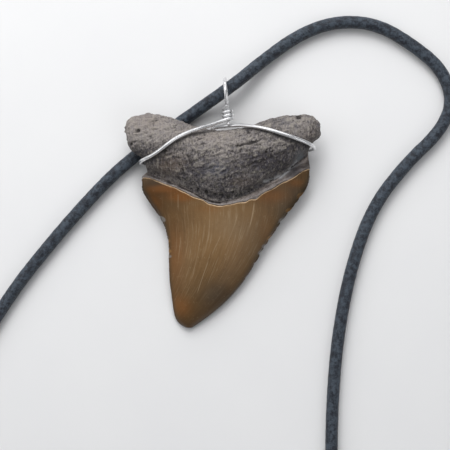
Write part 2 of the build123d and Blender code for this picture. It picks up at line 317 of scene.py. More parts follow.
class Solid:
    """The shape of some of the frame's nodes, with its outline and heights in millimetres."""

    def __init__(self, *names):
        points, faces, pairs = [], [], []
        for name in names:
            mesh = nodes[name].data
            start = len(points)
            points += [v.co / MM for v in mesh.vertices]
            faces += [[start + i for i in p.vertices] for p in mesh.polygons]
            pairs += [[start + i for i in e.vertices] for e in mesh.edges]
        self.tree = BVHTree.FromPolygons(points, faces)
        self.points = np.array(points)
        self.pairs = np.array(pairs)

    def sides(self, y):
        """The outline's left and right places at one place along the tooth."""
        a, b = self.points[self.pairs[:, 0]], self.points[self.pairs[:, 1]]
        cross = (a[:, 1] - y) * (b[:, 1] - y) <= 0
        a, b = a[cross], b[cross]
        run = np.where(np.abs(b[:, 1] - a[:, 1]) < 1e-9, 1.0, b[:, 1] - a[:, 1])
        t = np.clip((y - a[:, 1]) / run, 0, 1)
        x = a[:, 0] + t * (b[:, 0] - a[:, 0])
        return x.min(), x.max()

    def heights(self, x, y, down):
        """Heights of the front, or of the back, and nan where there is nothing."""
        side = 1 if down else -1
        found = np.full(np.shape(x), np.nan)
        for index in np.ndindex(np.shape(x)):
            hit = self.tree.ray_cast((x[index], y[index], side * far), (0, 0, -side))[0]
            if hit is not None:
                found[index] = hit.z
        return found


def filled(grid):
    """The grid with its gaps filled along the columns, then the rows."""
    grid = grid.copy()
    for axis in (0, 1):
        lines = grid if axis else grid.T
        for line in lines:
            known = ~np.isnan(line)
            if known.any():
                places = np.arange(len(line))
                line[~known] = np.interp(places[~known], places[known], line[known])
    return grid


def blurred(grid, times):
    """The grid smoothed a little, with its border kept."""
    for _ in range(times):
        inner = (grid[:-2, 1:-1] + grid[2:, 1:-1] + grid[1:-1, :-2] + grid[1:-1, 2:]) / 4
        grid = grid.copy()
        grid[1:-1, 1:-1] = 0.5 * grid[1:-1, 1:-1] + 0.5 * inner
    return grid


def placed(name, data):
    """A new object in the scene."""
    thing = bpy.data.objects.new(name, data)
    bpy.context.scene.collection.objects.link(thing)
    return thing


def new_mesh(name, points, faces):
    """A mesh from points in millimetres."""
    mesh = bpy.data.meshes.new(name)
    mesh.from_pydata((np.asarray(points) * MM).tolist(), [], faces)
    mesh.validate()
    return mesh


def new_piece(name, mesh):
    """A smooth piece on the necklace's one body."""
    mesh.shade_smooth()
    piece = placed(name, mesh)
    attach(piece, "root")
    return piece


def finished_mesh(helper):
    """The mesh that a helper object makes. The helper is removed."""
    bpy.context.view_layer.update()
    graph = bpy.context.evaluated_depsgraph_get()
    mesh = bpy.data.meshes.new_from_object(helper.evaluated_get(graph))
    bpy.data.objects.remove(helper)
    return mesh


def read(things, name, width, kind=np.float64):
    """Numbers of a mesh's points or edges as an array."""
    values = np.zeros(len(things) * width, kind)
    things.foreach_get(name, values)
    return values.reshape(-1, width)


def keep(piece, **values):
    """Store numbers for each of the mesh's points, for its material."""
    for name, numbers in values.items():
        layer = piece.data.attributes.new(name, "FLOAT", "POINT")
        layer.data.foreach_set("value", np.asarray(numbers, dtype=np.float32).ravel())


def closed_shell(front, back):
    """Points and faces of a closed shell between a front and a back grid."""
    count = front[..., 0].size
    grid = np.arange(count).reshape(front.shape[:2])
    upper = np.stack([grid[:-1, :-1], grid[:-1, 1:], grid[1:, 1:], grid[1:, :-1]], -1).reshape(-1, 4)
    rim = np.concatenate([grid[0], grid[1:, -1], grid[-1, -2::-1], grid[-2:0:-1, 0]])
    before = np.roll(rim, 1)
    sides = np.stack([before, before + count, rim + count, rim], -1)
    points = np.concatenate([front.reshape(-1, 3), back.reshape(-1, 3)])
    return points, np.concatenate([upper, upper[:, ::-1] + count, sides]).tolist()


# Blade: the crown and the bourlette share one skin

blade = Solid("tooth_crown", "tooth_bourlette")
root_solid = Solid("tooth_root")
tip_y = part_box("tooth_crown")[0].y / MM
outline_y = np.linspace(tip_y + 0.01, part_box("tooth_bourlette")[1].y / MM - 0.05, outline_rows)
outline = np.array([blade.sides(y) for y in outline_y])
outline[:, 0] += notch_cut * smooth_step(outline_y, *notch_span)


def line_at(spots, x):
    """A smooth line through some spots: places along the tooth for places across it."""
    xs, ys = np.array([s.x for s in spots]), np.array([s.y for s in spots])
    slope = np.gradient(ys, xs)
    i = np.clip(np.searchsorted(xs, x) - 1, 0, len(xs) - 2)
    h = xs[i + 1] - xs[i]
    t = np.clip((x - xs[i]) / h, 0, 1)
    return ((2 * t ** 3 - 3 * t ** 2 + 1) * ys[i] + (t ** 3 - 2 * t ** 2 + t) * h * slope[i]
            + (3 * t ** 2 - 2 * t ** 3) * ys[i + 1] + (t ** 3 - t ** 2) * h * slope[i + 1])


def side_at(y, side):
    """The outline's left side, 0, or right side, 1, at places along the tooth."""
    return np.interp(y, outline_y, outline[:, side])


def enamel_line(x):
    """The enamel's edge, with the small steps that it has."""
    return line_at(ENAMEL_EDGE, x) + line_steps * rough(at(x), 1.1, 3, 11)


def rim_line(x):
    """The root's lower rim."""
    return line_at(ROOT_RIM, x) + line_steps * rough(at(x), 2.3, 3, 17)


def rim_place(x, z):
    """The root's lower rim on its slanted cut, at a height."""
    return rim_line(x) + back_slant * (line_height - z)


def bitten(y, chips, side, seed):
    """How far the cutting edge stands in from the plain outline."""
    arc = np.concatenate([[0], np.cumsum(np.hypot(np.diff(outline[:, side]), np.diff(outline_y)))])
    s = np.interp(y, outline_y, arc)
    place = at(s, 5.0 * side)
    wave = 0.5 + 0.5 * np.cos(2 * pi * (s + serration_wander * rough(place, 1.9, 2, seed)) / serration_pitch)
    strength = 0.65 + 0.35 * rough(place, 4.0, 2, seed + 5)
    bite = serration_depth * strength * wave ** 1.5
    bite = bite + edge_wear * (1 + rough(place, 2.6, 3, seed + 9))
    for chip in chips:
        bite = bite + chip.depth * bell(y - chip.y, chip.width)
    return bite * smooth_step(y, tip_y + 0.2, tip_y + 2.0)


def between(lines, x, z, along):
    """Places along the tooth between two lines across it. The tip alone doesn't slide."""
    slide = back_slant * (line_height - z)
    low, high = lines[0](x), lines[1](x)
    low = np.where(low > tip_y + 1, low + slide, low)
    return low + along * (high + slide - low)


def skin(x, y, front):
    """Smoothed heights of the blade's front or back."""
    return blurred(filled(blade.heights(x, y, front)), skin_blur)


def blade_grid(lines, grid, front, chipped):
    """Points of the blade's front or back between two lines across it."""
    even = np.linspace(0, 1, grid[1])
    crowded = (1 - column_crowding) * even + column_crowding * (0.5 - 0.5 * np.cos(pi * even))
    share, along = np.meshgrid(crowded, np.linspace(0, 1, grid[0]))
    low, high = lines[0](0 * share), lines[1](0 * share)
    y = low + along * (high - low)
    z = 0 * share + (line_height if front else back_level)
    for _ in range(outline_rounds):
        left, right = side_at(y, 0), side_at(y, 1)
        x = left + share * (right - left)
        y = between(lines, x, z, along)
    if chipped:
        bite_left = bitten(y, LEFT_CHIPS, 0, 31) * np.exp((left - x) / edge_fade)
        bite_right = bitten(y, RIGHT_CHIPS, 1, 47) * np.exp((x - right) / edge_fade)
        x = x + bite_left - bite_right
    for _ in range(2):
        inner = np.clip(x, left + skin_inset, right - skin_inset)
        reached = np.minimum(y, rim_place(inner, z) - rim_inset) if front else y
        z = skin(inner, reached, front)
        y = between(lines, x, z, along)
    return x, y, z, share, along, np.minimum(x - left, right - x)


def thinned(z, z_other, away):
    """Heights of one side, drawn towards the other so that the edge is sharp."""
    middle = (z + z_other) / 2
    half = np.abs(z - z_other) / 2
    drawn = (1 - edge_thin) * edge_half * np.exp(-np.maximum(away, 0) / edge_taper)
    return middle + np.sign(z - middle) * np.maximum(half - drawn, edge_thin * half)


def blade_piece(name, lines, grid, chipped, relief):
    """The crown or the bourlette, as a closed shell with its relief."""
    sheets, facts = [], []
    for front in (True, False):
        x, y, z, share, along, away = blade_grid(lines, grid, front, chipped)
        z = thinned(z, skin(x, y, not front), away)
        dent, values = relief(x, y, z, share, along, away, front)
        sheets.append(at(x, y, z - dent if front else z + dent))
        facts.append(values)
    piece = new_piece(name, new_mesh(name, *closed_shell(*sheets)))
    keep(piece, **{key: np.concatenate([fact[key].ravel() for fact in facts]) for key in facts[0]})
    return piece


# Crown: where it is light or dark, warm and grey, and how its enamel runs
lean_start = -2.0
lean_rate = 0.0165
fibre_taper = 0.018
furrow_depth = 0.012
rim_round = 0.1
groove_depth = 0.05
front_floor = 0.45
# Among these patches, the broad light one in the middle of the crown is a painted soft highlight
CROWN_TONES_AND_SHADING = table(
    Patch, (0, -6, 8, 11, 0.75), (-8, -16, 4, 7, 0.25), (-17, 1, 3.5, 3.5, -0.6),
    (-13, 3.4, 4, 1.2, -0.6), (13.5, -2.5, 3.5, 8, -0.05), (-1.5, -21.5, 4.5, 3.5, -0.35),
    (-9, -27, 3, 2.5, -0.1), (17, 3, 3, 3.5, -0.25), (-12.5, -4, 2.5, 7, 0.05), (11, -3, 3, 6, 0.15),
)
CROWN_WARMTH = table(
    Patch, (-13, 3.1, 4.5, 1, 0.9), (-9, 1.2, 3.5, 1.2, 1), (-11, -12, 3, 11, 0.6), (11, 1.5, 5, 2, 0.7),
    (-9.5, -24.5, 3.5, 3, 0.6), (-3, -1.5, 4, 1.4, 0.5), (-16.5, -1, 2.5, 3, 0.8),
    (17, 4.5, 2.5, 1.2, 0.6), (10, -6, 2.5, 6, 0.35),
)
CROWN_GREY = table(
    Patch, (2, -5.5, 6.5, 5, 0.5), (14, -3.5, 1.8, 6, 0.7), (17, 1.5, 2, 2.5, 0.5),
    (-2.5, -21, 4, 3.5, 0.45), (8, -12, 1.8, 5, 0.35),
)

# Pale streaks down the enamel: places as shares across and along the crown
Streak = namedtuple("Streak", "top_across top_along low_across low_along width strength")
STREAKS = table(
    Streak, (0.222, 0.98, 0.16, 0.83, 0.006, 0.28), (0.716, 0.985, 0.76, 0.76, 0.0055, 0.8),
    (0.518, 0.77, 0.47, 0.57, 0.006, 0.5), (0.46, 0.55, 0.42, 0.25, 0.008, 0.5),
    (0.62, 0.93, 0.60, 0.62, 0.005, 0.3), (0.40, 0.9, 0.39, 0.55, 0.005, 0.3),
    (0.33, 0.7, 0.31, 0.35, 0.006, 0.25), (0.56, 0.6, 0.53, 0.33, 0.006, 0.3),
)


def stained(y, away, chips):
    """How far each place is stained by the chips beside it."""
    near = bell(np.maximum(away, 0), stain_reach)
    return near * sum(chip.stain * bell(y - chip.y, 1.5 * chip.width) for chip in chips)


def across_fibres(x, y):
    """Places across the enamel's fibres, which are upright at its top and lean below."""
    below = np.maximum(lean_start - y, 0)
    return (x + lean_rate * below ** 2) / (1 - fibre_taper * below)


def crown_relief(x, y, z, share, along, away, front):
    """Faint furrows along the crown, a softened rim, and what its material needs."""
    rim = enamel_line(x) + back_slant * (line_height - z) - y
    fibre = across_fibres(x, y)
    furrow = rough(at(fibre * 0.85, along * 1.4, 3.0 * front), 1.0, 3, 61)
    dent = furrow_depth * furrow * smooth_step(away, 0.2, 1.5) * smooth_step(rim, 0.1, 1.0)
    dent = dent + rim_round * bell(np.maximum(rim, 0), 0.12)
    dent = dent + groove_depth * np.exp(-away / 0.5) * rough(at(x * 3.0, y * 3.0), 1.0, 2, 67)
    if front:
        dent = np.minimum(dent, np.maximum(z - front_floor, 0))
    stain = stained(y, x - side_at(y, 0), LEFT_CHIPS) + stained(y, side_at(y, 1) - x, RIGHT_CHIPS)
    return dent, {
        "across": share, "along": along, "fibre": fibre, "edge": away, "rim": rim, "stain": stain,
        "tone": painted(x, y, CROWN_TONES_AND_SHADING), "warmth": painted(x, y, CROWN_WARMTH),
        "grey": painted(x, y, CROWN_GREY),
    }


# Bourlette: its pits, its ridges and how deep its grain is
band_skin = 0.08
band_span = (-0.1, 0.6)
band_grain = 0.1
band_pore = 0.08
band_edge = 0.1
band_tuck = 0.5
# Painted shade on the flat face at the bourlette's right end
BAND_FACET_SHADE = Patch(16.4, 6.9, 2.3, 1.3, 1.4)
BAND_PITS = table(
    Pit, (-4.9, 0.95, 0.22, 0.25), (-4, 0.55, 0.2, 0.22), (-2.3, -0.1, 0.22, 0.25),
    (-0.6, -0.25, 0.2, 0.22), (1, -0.15, 0.2, 0.2), (2.9, 0.2, 0.2, 0.22), (4.4, 0.6, 0.22, 0.22),
    (-7.6, 2.1, 0.2, 0.2),
)
RIM_RIDGES = [
    table(Spot, (13.2, 5.4), (15.0, 7.0), (17.2, 9.2)), table(Spot, (9.6, 4.6), (11.4, 5.0), (13.0, 5.9)),
]
BAND_RIDGES = table(
    Crack,
    (0.3, -0.25, RIM_RIDGES[0]),
    (0.6, 0.3, table(Spot, (15.2, 5.9), (16.6, 7.1), (18, 8.3))),
    (0.2, 0.25, table(Spot, (8.4, 2.3), (9.6, 3.1), (11, 3.9), (13, 4.8), (14.2, 5.2))),
    (0.2, -0.1, table(Spot, (8.6, 1.8), (10.2, 2.7), (12.4, 3.7))),
    (0.22, 0.25, table(Spot, (-16.8, 5.3), (-15, 4.9), (-13.2, 4.45), (-11.8, 4))),
    (0.2, 0.2, table(Spot, (-10.2, 3.4), (-9, 2.9), (-7.8, 2.3))),
)


def dents(x, y, pits, cracks):
    """Depth of some pits and cracks at each place."""
    total = np.zeros(np.shape(x))
    for p in pits:
        total += p.depth * np.exp(-(np.hypot(x - p.x, y - p.y) / p.radius) ** 4)
    ragged = rough(at(x, y), 0.9, 2, 5)
    for c in cracks:
        away = from_line(x + crack_wander * ragged, y + crack_wander * ragged, c.points)
        total += c.depth * (0.75 + 0.25 * ragged) * bell(away, c.width)
    return total


def on_ridges(x, y):
    """1 along the light ridges at the root's lower rim, 0 away from them."""
    return sum(bell(from_line(x, y, line), ridge_width) for line in RIM_RIDGES)


def band_relief(x, y, z, share, along, away, front):
    """The bourlette's pits, ridges and grain, and what its material needs."""
    place = at(x, y, z)
    patchy = smooth_step(rough(place, 2.5, 2, 79), -0.3, 0.3)
    dent = band_skin + band_grain * rough(place, 0.9, 3, 71)
    dent = dent + band_pore * pores(place, 0.7, 77, 0.1, 0.45) * patchy
    under = y - rim_place(x, z)
    if front:
        dent = dent + dents(x, y, BAND_PITS, BAND_RIDGES)
        broken = smooth_step(-x, -3.0, 3.0) * (0.75 + 0.7 * rough(place, 1.3, 2, 83))
        width = crease_width * (1 + crease_growth * smooth_step(-x, 7.0, 15.0))
        dent = dent + crease_depth * broken * bell(under + crease_low, width)
        dent = dent - lip_height * broken * bell(under + lip_low, lip_width)
    dent = dent + band_edge * bell(along, 0.06)
    hollow = np.clip(dent, *band_span) * smooth_step(away, 0.0, 0.6)
    dent = hollow + band_tuck * smooth_step(under, 0.25, band_overlap)
    # Painted shade on the flat face at the right end
    facet_shade = painted(x, y, [BAND_FACET_SHADE]) * front
    return dent, {"hollow": hollow, "along": along, "facet_shade": facet_shade, "ridge": on_ridges(x, y) * front}


def tip_line(x):
    """The crown's lowest line."""
    return 0 * x + tip_y


def enamel_low(x):
    """The crown's upper border, half the seam below the enamel's edge."""
    return enamel_line(x) - seam_gap / 2


def enamel_high(x):
    """The bourlette's lower border, half the seam above the enamel's edge."""
    return enamel_line(x) + seam_gap / 2


def rim_low(x):
    """The bourlette's upper border, under the root's rim but not past its ends."""
    left, right = rim_ends
    near, far = end_ease
    inside = smooth_step(x, left + near, left + far) * smooth_step(-x, near - right, far - right)
    return rim_line(x) + end_overlap + (band_overlap - end_overlap) * inside


rim_ends = [side_at(ROOT_RIM[1].y, 0), side_at(ROOT_RIM[-3].y, 1)]
crown = blade_piece("crown", (tip_line, enamel_low), crown_grid, True, crown_relief)
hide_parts("tooth_crown")
band_lines = (enamel_high, rim_low)
bourlette = blade_piece("bourlette", band_lines, band_grid, False, band_relief)
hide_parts("tooth_bourlette")


# Root: where it is light or dark, warm and calm

# These patches hold painted light on the upper parts of the lobes and the bulge and painted shade on their
# lower sides, mixed with the root's own lighter and darker patches
ROOT_TONES_AND_SHADING = table(
    Patch, (-16, 17.5, 7, 3.4, 1.05), (-19.5, 14.5, 4, 3, 0.8), (-18.5, 11, 4, 1.8, -0.6),
    (-1.5, 14.8, 8, 2.8, 0.7), (-1.5, 11, 5, 2.5, 0.12), (0, 6.5, 6, 2.2, -0.36),
    (10, 9.2, 6, 2.4, -0.55), (17, 17.8, 5, 3.2, 0.32), (17, 12.6, 4.5, 1.6, -0.38),
    (-12.5, 8.5, 3.2, 2.8, 0), (-6.5, 8, 2.4, 3.2, -0.35), (8, 13.2, 4, 1, 0.35), (0.5, 3, 7, 1.6, -0.2),
    (13, 7.4, 3, 1.2, -0.1), (9, 6, 4, 1, 0.1),
)
# Warm and cool tones. The cool patch at -1.5, 7 is a painted bluish sheen on the root's dark middle
ROOT_WARMTH_AND_SHEEN = table(
    Patch, (-12, 8.2, 4, 2.6, 0.8), (-17, 18, 6, 3, 0.35), (-2, 15, 7, 2.5, 0.3),
    (19.5, 15.5, 3, 2.5, 0.3), (4, 4.5, 5, 1.6, 0.5), (14, 18.5, 4, 2, -0.6), (-1.5, 7, 4, 2.4, -0.9),
    (20, 9, 2, 2, 0.6),
)
ROOT_CALM = table(
    Patch, (10, 8.5, 7, 3.2, 0.75), (17, 16, 6, 5, 0.45), (-13, 8, 4, 3, 0.6), (1, 5.5, 6, 2.4, 0.5),
    (-17, 18.5, 5, 2.5, 0.3), (-2, 8.5, 5, 2.5, 0.45),
)
SMOOTH_PATCH = Patch(18.1, 9.9, 1.2, 1.3, 1.0)
FIBRE_PATCH = Patch(-12.5, 8.5, 4.5, 4.0, 1.0)

# How deep the root's relief is, and how its fibres and wrinkles run
root_skin = 0.2
root_span = (-0.03, 1.0)
lump_depth = 0.14
knob_depth = 0.11
grit_depth = 0.14
grain_depth = 0.06
pore_depth = 0.09
hole_depth = 0.1
wrinkle_depth = 0.27
fibre_depth = 0.28
pock_depth = 0.15
rim_skin = 0.06
rim_span = (0.0, 0.35)
ridge_lift = 0.16
patch_calm = 0.7
fibre_stretch = (2.4, 0.36, 1.0)
wrinkle_stretch = (0.36, 1.7, 1.0)
wrinkle_slant = radians(-20.0)
wrinkle_wander = 0.6

# Painted shadow under the wire: a dark band on the root just below each strand
wire_shadow_low = 0.6
wire_shadow_width = 0.42


def remeshed(node):
    """A node's shape as an even mesh in millimetres."""
    mesh = nodes[node].data.copy()
    mesh.vertices.foreach_set("co", (read(mesh.vertices, "co", 3) / MM).ravel())
    helper = placed(node + "_copy", mesh)
    even = helper.modifiers.new("even", "REMESH")
    even.mode = "VOXEL"
    even.voxel_size = root_voxel
    result = finished_mesh(helper)
    bpy.data.meshes.remove(mesh)
    return result


def relaxed(points, pairs, times, amount=0.5):
    """Points drawn towards the middle of their neighbours."""
    count = np.bincount(pairs.ravel(), minlength=len(points))[:, None]
    for _ in range(times):
        total = np.zeros_like(points)
        np.add.at(total, pairs[:, 0], points[pairs[:, 1]])
        np.add.at(total, pairs[:, 1], points[pairs[:, 0]])
        points = points + amount * (total / count - points)
    return points


def band_heights():
    """Along the rim: places across, and the bourlette's height there."""
    across = np.linspace(*rim_ends, rim_samples)
    height = 0 * across + line_height
    for _ in range(3):
        found = blade.heights(across, rim_place(across, height) - rim_inset, True)
        height = np.where(np.isnan(found), height, found)
    known = ~np.isnan(found)
    return across[known], height[known]


def lowered_rim(x, z, above):
    """Heights with the root's front drawn down to meet the bourlette along the rim."""
    low = np.interp(x, *band_heights()) + rim_margin
    return np.where(z > low, low + (z - low) * smooth_step(above, 0.0, rim_reach), z)


def root_blank():
    """The root's plain mesh and points, and how far above its lower rim each point is."""
    mesh = remeshed("tooth_root")
    pairs = read(mesh.edges, "vertices", 2, np.int32)
    points = relaxed(read(mesh.vertices, "co", 3), pairs, 12)
    points = np.array([root_solid.tree.find_nearest(p)[0] for p in points])
    x, y, z = relaxed(points, pairs, 3).T
    above = y - rim_place(x, z)
    points = at(x, y, lowered_rim(x, z, above))
    mesh.vertices.foreach_set("co", points.ravel())
    mesh.update()
    return mesh, points, above


def root_cavities(points, above, front):
    """Depth of the root's grit, pores, holes, wrinkles, fibres, pits and cracks."""
    x, y, _ = points.T
    warped = points + wrinkle_wander * at(rough(points, 3.0, 2, 111), rough(points, 3.0, 2, 113))
    c, s = cos(wrinkle_slant), sin(wrinkle_slant)
    slanted = warped @ np.array([[c, s, 0], [-s, c, 0], [0, 0, 1]])
    wrinkles = rough(slanted * wrinkle_stretch, 0.95, 2, 127) * smooth_step(above, 4.0, 8.0)
    fibred = painted(x, y, [FIBRE_PATCH]) + 0.7 * (1 - smooth_step(above, 2.5, 6.5))
    fibres = rough(warped * fibre_stretch, 1.2, 2, 121) * fibred
    pore = pores(points, 0.8, 131, 0.15, 0.5) * smooth_step(rough(points, 2.6, 2, 137), -0.3, 0.35)
    hole = pores(points, 2.6, 141, 0.05, 0.16) * smooth_step(rough(points, 5.0, 1, 143), -0.2, 0.4)
    pock = pores(points * (1.0, 0.8, 1.0), 1.1, 151, 0.2, 0.45) * bell(above - 1.5, 1.5) * bell(x - 0.5, 6.5)
    cavity = grit_depth * rough(points, 0.75, 2, 107) + grain_depth * grain(points, 0.45, 109)
    cavity = cavity + pore_depth * pore + hole_depth * hole + wrinkle_depth * wrinkles
    cavity = cavity + fibre_depth * fibres + pock_depth * pock
    return cavity + front * dents(x, y, ROOT_PITS, CRACKS)


def root_piece():
    """The porous root, with its relief and what its material needs."""
    mesh, points, above = root_blank()
    x, y, _ = points.T
    normals = read(mesh.vertex_normals, "vector", 3)
    front = smooth_step(normals[:, 2], -0.2, 0.4)
    ridge = on_ridges(x, y) * front
    patch = painted(x, y, [SMOOTH_PATCH]) * front
    strands = (LEFT_STRAND, RIGHT_STRAND[2:])
    # Painted shadow: a dark band on the root just below each strand of wire
    grime = front * sum(bell(from_line(x, y + wire_shadow_low, line), wire_shadow_width) for line in strands)
    cavity = root_cavities(points, above, front) * (1 - patch_calm * patch)
    bumps = lump_depth * rough(points, 4.2, 2, 101) + knob_depth * rough(points, 1.9, 2, 103)
    dent = np.clip(root_skin + bumps + cavity, *root_span)
    near = (1 - smooth_step(above, 0.2, 1.2)) * front
    dent = dent * (1 - near) + np.clip(rim_skin + 0.6 * cavity, *rim_span) * near - ridge_lift * ridge
    upward = normals * (1 - near[:, None]) + np.array([0, 0, 1.0]) * near[:, None]
    mesh.vertices.foreach_set("co", ((points - upward * dent[:, None]) * MM).ravel())
    mesh.update()
    piece = new_piece("root", mesh)
    keep(
        piece, hollow=cavity, tone=painted(x, y, ROOT_TONES_AND_SHADING), warmth=painted(x, y, ROOT_WARMTH_AND_SHEEN),
        ridge=ridge, patch=patch, grime=grime, calm=painted(x, y, ROOT_CALM),
    )
    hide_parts("tooth_root")
    return piece


root = root_piece()


# Wire

def smooth_line(name, route):
    """Points along the smooth line that the route's points control."""
    curve = bpy.data.curves.new(name, "CURVE")
    curve.dimensions = "3D"
    curve.resolution_u = line_resolution
    spline = curve.splines.new("NURBS")
    spline.points.add(len(route) - 1)
    for point, place in zip(spline.points, route):
        point.co = (*np.multiply(place, MM), 1)
    spline.order_u = 3
    spline.use_endpoint_u = True
    mesh = finished_mesh(placed(name, curve))
    points = read(mesh.vertices, "co", 3) / MM
    bpy.data.meshes.remove(mesh)
    return points


def evenly(points, step):
    """Points an even step apart along a line, and how far along it each one is."""
    run = np.concatenate([[0], np.cumsum(np.linalg.norm(np.diff(points, axis=0), axis=1))])
    count = int(round(run[-1] / step)) + 1
    wanted = np.linspace(0, run[-1], count)
    return np.stack([np.interp(wanted, run, points[:, k]) for k in range(3)], -1), wanted


def tube(line, radius, sides):
    """Points and faces of a closed tube along a line, its radius given for each point."""
    ahead = np.gradient(line, axis=0)
    ahead /= np.linalg.norm(ahead, axis=1)[:, None]
    beside = np.zeros_like(line)
    way = np.cross(ahead[0], [0.31, 0.27, 0.91])
    for i, along in enumerate(ahead):
        way = way - along * (way @ along)
        way /= np.linalg.norm(way)
        beside[i] = way
    above = np.cross(ahead, beside)
    turn = np.linspace(0, 2 * pi, sides, endpoint=False)
    spokes = np.cos(turn)[:, None] * beside[:, None] + np.sin(turn)[:, None] * above[:, None]
    points = line[:, None] + radius[..., None] * spokes
    ring = np.arange(len(line) * sides).reshape(-1, sides)
    after = np.roll(ring, -1, axis=1)
    faces = np.stack([ring[:-1], after[:-1], after[1:], ring[1:]], -1).reshape(-1, 4).tolist()
    return points.reshape(-1, 3), faces + [ring[0, ::-1].tolist(), ring[-1].tolist()]


def seat(x, y, lowest):
    """Height of the wire's middle where it rests on the root's front, and no lower."""
    reach = wire_radius + wire_clearance
    heights = [lowest]
    for ring in seat_rings:
        turn = np.arange(8 if ring else 1) * pi / 4
        top = root_solid.heights(x + reach * ring * np.cos(turn), y + reach * ring * np.sin(turn), True)
        heights += list(top[~np.isnan(top)] + reach * np.sqrt(1 - ring ** 2))
    return max(heights)


def strand(rows, lowest):
    """The wire's middle line over the root's front."""
    return [(row.x, row.y, seat(row.x, row.y, lowest) + row.lift) for row in rows]


bail_way = np.array([-sin(bail_lean), cos(bail_lean), 0])
upright = np.array([0, 0, 1])
bail_along = bail_way * cos(bail_pitch) - upright * sin(bail_pitch)
bail_above = bail_way * sin(bail_pitch) + upright * cos(bail_pitch)
bail_beside = np.cross(bail_above, bail_along)


def on_bail(along, above, beside=0.0):
    """A point given along, above and beside the bail's shank, from its foot."""
    return bail_foot + bail_along * along + bail_above * above + bail_beside * beside


def eye_point(turn):
    """A corner of the eye, turned from its lowest point."""
    return on_bail(eye_middle - eye_radius * cos(radians(turn)), -eye_radius * sin(radians(turn)))


# Where the eye's end meets the top of the wire's turns, and the way from there to the eye
coil_entry = on_bail(coil_low + coil_steps * coil_rise + 0.8 * wire_radius, coil_radius + wire_radius)
closing = eye_point(eye_turns[-1]) - coil_entry
closing /= np.linalg.norm(closing)


def wire_route():
    """The wire from its cut tail round the root to the top of the turns on the shank."""
    route = strand(RIGHT_STRAND, right_strand_low) + ROUND_THE_BACK + strand(LEFT_STRAND, left_strand_low)
    for step in range(coil_steps + 1):
        turn = 2 * pi * (coil_steps - step + 1) / coil_steps_a_turn
        route.append(on_bail(coil_low + step * coil_rise, coil_radius * cos(turn), coil_radius * sin(turn)))
    return route + [coil_entry, coil_entry + closing * wire_radius]


def bail_route():
    """The bail from the end over the right strand, along the shank and round the eye."""
    route = [on_bail(hook_end, hook_rise), on_bail(hook_end / 2, 0.95 * hook_rise)]
    route += [on_bail(place, 0.0) for place in shank_places]
    route += [eye_point(turn) for turn in eye_turns]
    return route + [coil_entry + closing * (wire_radius + 0.1)]


def wire_piece(name, node, route):
    """Round wire along a route, with its two ends cut and a little rounded."""
    line, run = evenly(smooth_line(name, route), wire_step)
    end = np.clip(np.minimum(run, run[-1] - run) / (end_round * wire_diameter), 0, 1)
    radius = wire_radius * (end_flat + (1 - end_flat) * np.sqrt(1 - (1 - end) ** 2))
    radius = radius - wire_wobble * (1 + rough(at(run), 2.2, 2, 301))
    points, faces = tube(line, np.repeat(radius[:, None], wire_sides, 1), wire_sides)
    piece = new_piece(name, new_mesh(name, points, faces))
    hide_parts(node)
    return piece


wire = wire_piece("wire", "wrap_wire", wire_route())
loop = wire_piece("bail_loop", "bail", bail_route())


# Cord

def cord_piece():
    """The cord as a tube with the grain of round leather."""
    line, distance = evenly(smooth_line("cord_line", CORD_ROUTE), cord_step)
    around, run = np.meshgrid(np.linspace(0, 2 * pi, cord_sides, endpoint=False), distance)
    place = at(run, cord_radius * np.cos(around), cord_radius * np.sin(around))
    dent = cord_grain * (1 + rough(place * (0.5, 1, 1), 0.8, 3, 201))
    dent = dent + cord_crease * (1 - pores(place * (0.7, 1, 1), 0.9, 211, 0.35, 0.7))
    points, faces = tube(line, cord_radius - np.clip(dent, 0.0, 0.2), cord_sides)
    piece = new_piece("cord_leather", new_mesh("cord_leather", points, faces))
    keep(piece, hollow=dent)
    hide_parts("cord")
    return piece


cord = cord_piece()


# Materials

